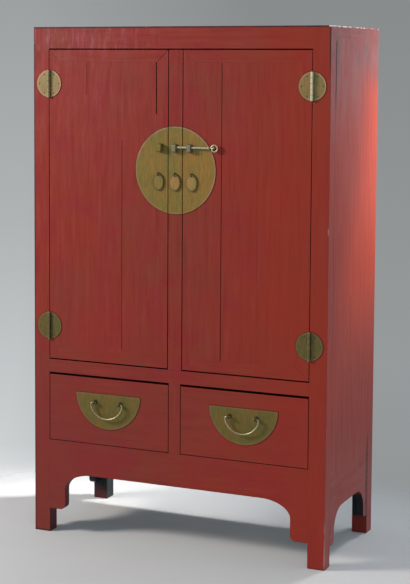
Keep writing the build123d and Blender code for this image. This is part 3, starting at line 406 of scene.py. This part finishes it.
def lacquer(name, grain, side=(), gaps=(), reveals=(), discs=(), black=(), joints=False):
    """Old red lacquer over wood, with its grain along the axis grain.

    Faces are named by the direction that they look in.
    side: those with the dulled finish of the cabinet's sides.
    gaps: those that line a dark gap.
    reveals: those that are darkened below the drawers, as painted shade.
    discs: the brass plates with a dark ring of dirt and painted shadow round them.
    black: those that turn black above a ragged edge, each with the heights between which it starts.
    joints: whether the upright joints of a side are dark.
    """
    g = Surface(name)
    colour = front_colour(g, grain)
    if side:
        colour = g.mix(g.facing(*side), colour, side_colour(g, grain))
    colour = worn_and_shaded_edges(g, colour)
    if discs:
        colour = dirt_and_shade_rings(g, colour, discs)
    # Dirt and painted shade in gaps and where pieces meet.
    colour = g.mix(g.times(g.crevice(0.010), 0.8), colour, GRIME_AND_SHADE)
    if gaps:
        colour = lined_gaps(g, colour, gaps)
    if reveals:
        # Faces below the drawers are darkened: painted shade.
        below = g.remap(g.z, SILL - 0.01, SILL - 0.02)
        colour = g.mix(g.times(g.facing(*reveals), below, 0.75), colour, EDGE_SHADE)
    if joints:
        colour = open_joints(g, colour)
    if black:
        colour = black_inside(g, colour, black)

    streak = g.noise(g.stretch(finer(grain, 0.8)), 5.0, 4.0, 0.6)
    height = g.noise(g.stretch(finer(grain, 1.4)), 8.0, 4.0, 0.65, 0.2)
    normal = g.bump(height, 0.22, 0.0006, g.rounded(0.002))
    normal = g.bump(g.noise(g.place, 13.0, 3.0), 0.35, 0.0014, normal)
    return g.finish(g.principled(Base_Color=colour, Roughness=g.remap(streak, 0.3, 0.7, 0.36, 0.50),
                                 Normal=normal, Specular_IOR_Level=0.2))


# ---- Brass -----------------------------------------------------------------------------------

def rubbed_and_lit_rims(g, colour, worn, rims, rim, rim_wear_highlight):
    """Plates with rims of width rim that are pale by as much as rim_wear_highlight, less so low on the left:
    partly rubbed brass and partly a painted highlight.
    """
    rim_band = g.remap(g.outside(rims), -rim * 1.3, -rim * 0.7)
    if rims == MOON_DISCS:
        rim_band = g.most(rim_band, g.remap(g.z, MOON_EDGE - rim, MOON_EDGE - rim / 2))
    pale = g.mix(g.remap(g.z, 0.7, 1.2), RIM_DULL, HINGE_RIM_HIGHLIGHT if rims == HINGE_DISCS else RIM_HIGHLIGHT)
    rub = g.remap(worn, 0.36, 0.60, rim_wear_highlight * 0.25, rim_wear_highlight)
    upper = g.remap(g.plus(g.z, g.times(g.x, 0.4)), PLATE_Z - 0.12, PLATE_Z + 0.02, 0.35, 1.0)
    return g.mix(g.times(rim_band, rub, upper), colour, pale)


def pull_border(g, pull):
    """1 in a band just inside the edge of an oval pull, 0 in its middle and away from it."""
    low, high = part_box(pull)
    middle, half = (low + high) / 2, (high - low) / 2
    oval = g.stretch((1 / half.x, 0.0, 1 / half.z), (-middle.x / half.x, 0.0, -middle.z / half.z))
    reach = g.measure("LENGTH", oval)
    return g.times(g.remap(reach, 0.74, 0.90), g.remap(reach, 1.10, 1.06))


def brass(name, base, metallic=0.3, rims=(), rim=0.0045, rim_wear_highlight=0.9, dark_below=None, pulls=()):
    """Old brass, dulled to olive.

    rims: the discs whose edges are pale, partly rubbed and partly a painted highlight, in a width of rim and
    by as much as rim_wear_highlight.
    dark_below: the height below which it is nearly black.
    pulls: the oval pulls that have a dark border.
    """
    g = Surface(name)
    cloud = g.noise(g.place, 16.0, 4.0, 0.6, 0.4)
    spots = g.noise(g.stretch((1.0, 1.0, 1.0), (3.0, 1.0, 8.0)), 60.0, 4.0, 0.65)
    brushed = g.noise(g.stretch((6.0, 1.0, 0.5)), 40.0, 4.0, 0.7)
    worn = g.noise(g.stretch((1.0, 1.0, 1.0), (5.0, 2.0, 1.0)), 14.0, 5.0, 0.7)
    colour = base
    if rims == HINGE_DISCS:
        upper = g.mix(g.remap(g.x, 0.3, -0.3), HINGE_MID, HINGE_PALE)
        colour = g.mix(g.remap(g.z, 0.9, 1.5), HINGE_DARK, upper)
    for value, low, high, share, factors in ((cloud, 0.40, 0.62, 0.9, OLIVE_TINT),
                                             (cloud, 0.45, 0.30, 0.8, WARM_TINT),
                                             (spots, 0.50, 0.75, 0.9, BROWN_TINT),
                                             (brushed, 0.42, 0.62, 0.9, DULL_TINT)):
        colour = g.mix(g.remap(value, low, high, 0.0, share), colour, factors, "MULTIPLY")
    if rims == LOCK_DISC:
        colour = g.mix(g.remap(g.x, -0.02, 0.12), colour, BRIGHT_TINT, "MULTIPLY")
    colour = g.mix(g.remap(worn, 0.58, 0.80, 0.0, 0.30), colour, RIM_DULL)
    if rims:
        colour = rubbed_and_lit_rims(g, colour, worn, rims, rim, rim_wear_highlight)
    if rims == HINGE_DISCS:
        # The hinge barrels are painted pale, most of all on the upper right: a painted highlight.
        barrel = g.remap(g.y, PLATE_FRONT - 0.0010, PLATE_FRONT - 0.0018)
        highlit = g.times(g.remap(g.x, 0.0, 0.3), g.remap(g.z, 0.9, 1.5))
        colour = g.mix(g.times(barrel, g.plus(0.05, g.times(highlit, 0.95))), colour, BARREL_HIGHLIGHT)
    for pull in pulls:
        colour = g.mix(g.times(pull_border(g, pull), 0.55), colour, BRASS_DARK)
    if dark_below is not None:
        colour = g.mix(g.remap(g.z, dark_below, dark_below - 0.001), colour, BRASS_DARK)
    colour = g.mix(g.times(g.crevice(0.006), 0.8), colour, BRASS_DARK)

    roughness = g.remap(g.plus(g.times(spots, 0.5), g.times(cloud, 0.5)), 0.3, 0.7, 0.38, 0.52)
    normal = g.bump(g.noise(g.place, 45.0, 3.0), 0.35, 0.0008, g.rounded(0.0008))
    normal = g.bump(g.noise(g.stretch((3.0, 1.0, 0.6)), 120.0, 4.0, 0.7), 0.15, 0.0003, normal)
    return g.finish(g.principled(Base_Color=colour, Metallic=metallic, Roughness=roughness, Normal=normal,
                                 Specular_IOR_Level=0.3))


# ---- Wood ------------------------------------------------------------------------------------

def bare_wood(name, grain):
    """Unpainted softwood, darkened with age."""
    g = Surface(name)
    rings = g.noise(g.stretch(finer(grain, 0.7, 0.2)), 6.0, 5.0, 0.6, 0.3)
    fine = g.noise(g.stretch(finer(grain, 3.0)), 14.0, 3.0, 0.7)
    colour = g.mix(g.remap(rings, 0.35, 0.65, 0.0, 0.55), WOOD, WOOD_DARK)
    colour = g.mix(g.remap(fine, 0.5, 0.8, 0.0, 0.35), colour, WOOD_DARK)
    # Dirt and painted shade in gaps and where pieces meet.
    colour = g.mix(g.times(g.crevice(0.02), 0.75), colour, GRIME_AND_SHADE)
    normal = g.bump(g.plus(g.times(rings, 0.4), g.times(fine, 0.6)), 0.4, 0.0008)
    return g.finish(g.principled(Base_Color=colour, Roughness=0.75, Normal=normal))


# ---- Materials on the pieces -----------------------------------------------------------------

def paint(material, *names):
    for name in names:
        nodes[name].data.materials.clear()
        nodes[name].data.materials.append(material)


def pair(name):
    return "left_" + name, "right_" + name


paint(lacquer("lacquer_left_post", "z", side=(LEFT,), gaps=(RIGHT,), reveals=(RIGHT,), discs=HINGE_DISCS),
      "front_left_post")
paint(lacquer("lacquer_right_post", "z", side=(RIGHT,), gaps=(LEFT,), discs=HINGE_DISCS),
      "front_right_post")
paint(lacquer("lacquer_upright", "z", gaps=ROUND, discs=LOCK_DISC), "centre_stile", "drawer_muntin")
paint(lacquer("lacquer_top_rail", "x", gaps=(DOWN,)), "top_front_rail")
paint(lacquer("lacquer_rail", "x", gaps=(UP, DOWN)), "middle_rail")
paint(lacquer("lacquer_apron", "x", reveals=ROUND), "front_apron")
paint(lacquer("lacquer_across", "x"), "top_rear_rail", "lower_rear_rail", "top_panel")
paint(lacquer("lacquer_drawer", "x", gaps=(LEFT, RIGHT, UP), discs=MOON_DISCS), *pair("drawer_front"))
paint(lacquer("lacquer_door_upright", "z", gaps=ROUND, discs=DOOR_DISCS, black=[(BACKWARD, BLACK_FROM)]),
      *pair("door_stiles"), *pair("door_panel"))
paint(lacquer("lacquer_door_across", "x", gaps=ROUND, black=[(BACKWARD, BLACK_FROM)]),
      *pair("door_rails"))
paint(lacquer("lacquer_side", "z", side=(LEFT, RIGHT), joints=True), *pair("side_panel"))
paint(lacquer("lacquer_side_rail", "y", side=(LEFT, RIGHT)), *pair("top_rail"))
for outward, inward, apron in ((LEFT, RIGHT, "left_apron"), (RIGHT, LEFT, "right_apron")):
    inside = [(direction, BLACK_FROM) for direction in (inward, FORWARD, BACKWARD)]
    paint(lacquer("lacquer_" + apron, "y", side=(outward,), black=inside, joints=True), apron)
paint(lacquer("lacquer_rear_left_post", "z", side=(LEFT,),
              black=[(FORWARD, (-0.050, 0.080)), (RIGHT, (-0.060, -0.030))]), "rear_left_post")
paint(lacquer("lacquer_rear_right_post", "z", side=(RIGHT,),
              black=[(FORWARD, BLACK_FROM), (LEFT, BLACK_FROM)]), "rear_right_post")

paint(bare_wood("softwood_across", "x"), "cupboard_floor", "shelf", "middle_rear_rail",
      *pair("door_battens"))
paint(bare_wood("softwood_upright", "z"), "back_panel")
paint(bare_wood("softwood_deep", "y"), "top_battens", "shelf_cleats", "drawer_runners",
      *pair("drawer_box"))

paint(brass("brass_plate", PLATE_BRASS, rims=LOCK_DISC), "centre_lock_plate", *pair("door_lock_plate"))
paint(brass("brass_half_moon", MOON_BRASS, rims=MOON_DISCS, rim=0.006, rim_wear_highlight=1.0),
      *pair("handle_plate"))
paint(brass("brass_hinge", HINGE_MID, rims=HINGE_DISCS, rim_wear_highlight=0.75), "post_hinge_leaves",
      *pair("door_hinge_leaves"))
paint(brass("brass_pin", PIN_BRASS, metallic=0.6), "lock_pin", "hinge_pins")
paint(brass("brass_grey", GREY_BRASS, metallic=0.5, dark_below=PLATE_Z), "centre_lock_staples",
      "right_door_lock_staples")
paint(brass("brass_olive", PLATE_BRASS, metallic=0.4, dark_below=PLATE_Z), "left_door_lock_staples")
paint(brass("brass_bail", BAIL_BRASS, metallic=0.8), *pair("bail"))
paint(brass("brass_stud", STUD_BRASS, metallic=0.4), "post_hinge_nails", *pair("door_hinge_nails"),
      *pair("handle_posts"))
paint(brass("brass_green_pull", GREEN_BRASS, pulls=["left_pendant"]), "left_pendant")
paint(brass("brass_tan_pull", TAN_BRASS, pulls=["centre_pendant", "right_pendant"]), "centre_pendant",
      "right_pendant")


# ---- Floor -----------------------------------------------------------------------------------
FLOOR_REACH = 14.0
FLOOR_TONES = ((0.54, 0.515, 0.500), (0.56, 0.535, 0.520))
# The floor is solid round this point, and clear beyond the second of these distances from it.
FLOOR_MIDDLE = (0.0, -0.5, 0.0)
FLOOR_FADE = (1.02, 1.55)


def make_floor():
    """A pale floor that fades out a little way from the cabinet, into the backdrop."""
    mesh = bpy.data.meshes.new("studio_floor")
    corners = [(x * FLOOR_REACH, y * FLOOR_REACH, 0.0) for x, y in ((-1, -1), (1, -1), (1, 1), (-1, 1))]
    mesh.from_pydata(corners, [], [(0, 1, 2, 3)])
    floor = bpy.data.objects.new("studio_floor", mesh)
    bpy.context.scene.collection.objects.link(floor)
    g = Surface("studio_floor")
    tone = g.mix(g.remap(g.noise(g.place, 1.3, 2.0), 0.3, 0.7), *FLOOR_TONES)
    solid = g.principled(Base_Color=tone, Roughness=0.9)
    clear = g.add("ShaderNodeBsdfTransparent").outputs[0]
    fade = g.remap(g.measure("DISTANCE", g.place, FLOOR_MIDDLE), *FLOOR_FADE)
    shader = g.add("ShaderNodeMixShader", {0: fade, 1: solid, 2: clear}).outputs[0]
    floor.data.materials.append(g.finish(shader))


# ---- Light -----------------------------------------------------------------------------------
AMBIENT = (0.320, 0.450, 0.545)
# The backdrop's brightness by the height of the view direction, on the left, where a glow rises from the
# floor, and on the right. Far below, both are about as bright as the floor.
BACKDROP_LEFT = ((-0.350, 0.52), (-0.262, 0.72), (-0.240, 0.60), (-0.100, 0.43), (0.040, 0.34))
BACKDROP_RIGHT = ((-0.350, 0.50), (-0.265, 0.29), (-0.190, 0.31), (0.040, 0.25))
# The view directions, in x, between which the left goes over to the right.
BACKDROP_TURN = (-0.50, -0.37)
BACKDROP_TINT = (1.0, 1.045, 1.06)

REAR_PLACE = (0.95, 1.20, 2.50)
WARM_LIGHT = (1.0, 0.945, 0.88)
WHITE_LIGHT = (1.0, 1.0, 1.0)
COOL_LIGHT = (0.95, 0.98, 1.0)


def straight(g, value, low, high):
    """0 to 1 in a straight line as value goes from low to high."""
    return g.add("ShaderNodeMapRange", {"Value": value, "From Min": low, "From Max": high}).outputs[0]


def grey_ramp(g, height, stops):
    """A grey that follows stops of height and brightness."""
    low, high = stops[0][0], stops[-1][0]
    ramp = g.add("ShaderNodeValToRGB", {0: straight(g, height, low, high)})
    elements = ramp.color_ramp.elements
    for place, _ in stops[1:-1]:
        elements.new((place - low) / (high - low))
    for element, (_, brightness) in zip(elements, stops):
        element.color = (*[brightness * factor for factor in BACKDROP_TINT], 1.0)
    return ramp.outputs[0]


def make_world():
    """Soft bluish light all round, and a grey backdrop, paler low on the left, for the camera and for
    reflections."""
    world = bpy.data.worlds.new("studio")
    bpy.context.scene.world = world
    world.use_nodes = True
    g = Tree(world.node_tree)
    view = g.add("ShaderNodeTexCoord").outputs["Generated"]
    across, _, height = g.add("ShaderNodeSeparateXYZ", {0: view}).outputs
    backdrop = g.mix(straight(g, across, *BACKDROP_TURN), grey_ramp(g, height, BACKDROP_LEFT),
                     grey_ramp(g, height, BACKDROP_RIGHT))
    ray = g.add("ShaderNodeLightPath").outputs
    shown = g.most(ray["Is Camera Ray"], ray["Is Glossy Ray"], ray["Is Transmission Ray"])
    background = g.add("ShaderNodeBackground", {0: g.mix(shown, AMBIENT, backdrop)})
    g.add("ShaderNodeOutputWorld", {0: background.outputs[0]})


def make_lamp(name, place, target, size, power, colour=WHITE_LIGHT, spread=180.0, mirrored=True):
    """A rectangular soft light that looks at target, with its beam narrowed to spread degrees.
    mirrored=False keeps it out of reflections."""
    data = bpy.data.lights.new(name, "AREA")
    data.shape = "RECTANGLE"
    data.size, data.size_y = size
    data.energy = power
    data.color = colour
    data.spread = math.radians(spread)
    lamp = bpy.data.objects.new(name, data)
    lamp.location = place
    lamp.rotation_mode = "QUATERNION"
    lamp.rotation_quaternion = (Vector(target) - Vector(place)).to_track_quat("-Z", "Y")
    lamp.visible_camera = False
    lamp.visible_glossy = mirrored
    bpy.context.scene.collection.objects.link(lamp)


# ---- Camera ----------------------------------------------------------------------------------
CAMERA_PLACE = (2.1711, -4.9859, 1.6665)
CAMERA_YAW = math.radians(24.0723)
CAMERA_PITCH = math.radians(4.9697)
CAMERA_ROLL = 0.0054
CAMERA_LENS = 95.01
CAMERA_SHIFT = (0.0259, -0.1573)


def make_camera():
    """A camera in front and to the right of the cabinet, at eye height."""
    ahead = Vector((-math.sin(CAMERA_YAW) * math.cos(CAMERA_PITCH),
                    math.cos(CAMERA_YAW) * math.cos(CAMERA_PITCH),
                    -math.sin(CAMERA_PITCH)))
    level = Vector((math.cos(CAMERA_YAW), math.sin(CAMERA_YAW), 0.0))
    upward = level.cross(ahead)
    across = math.cos(CAMERA_ROLL) * level + math.sin(CAMERA_ROLL) * upward
    up = -math.sin(CAMERA_ROLL) * level + math.cos(CAMERA_ROLL) * upward
    data = bpy.data.cameras.new("camera")
    data.lens = CAMERA_LENS
    data.shift_x, data.shift_y = CAMERA_SHIFT
    camera = bpy.data.objects.new("camera", data)
    turn = Matrix((across, up, -ahead)).transposed()
    camera.matrix_world = Matrix.Translation(CAMERA_PLACE) @ turn.to_4x4()
    bpy.context.scene.collection.objects.link(camera)
    bpy.context.scene.camera = camera


make_floor()
make_world()
make_lamp("key", (-3.6, -2.3, 2.9), (0.0, 0.0, 1.0), (1.0, 1.0), 208.0, WARM_LIGHT)
make_lamp("fill", (2.6, -4.8, 2.0), (0.0, 0.0, 1.0), (2.5, 2.5), 49.0)
make_lamp("side_fill", (4.0, 0.7, 1.0), (0.5, 0.0, 0.8), (1.5, 1.5), 25.0, mirrored=False)
make_lamp("rear", REAR_PLACE, (0.20, 0.55, 2.40), (0.25, 0.25), 32.0, mirrored=False)
make_lamp("rear_beam", REAR_PLACE, (-1.10, -0.10, 0.0), (0.25, 0.25), 10.0, COOL_LIGHT, spread=48.0,
          mirrored=False)
make_lamp("rear_strip", (0.85, 0.62, 1.45), (0.55, 0.20, 1.40), (0.12, 0.75), 5.5, mirrored=False)
make_camera()
bpy.context.scene.view_settings.view_transform = "Standard"
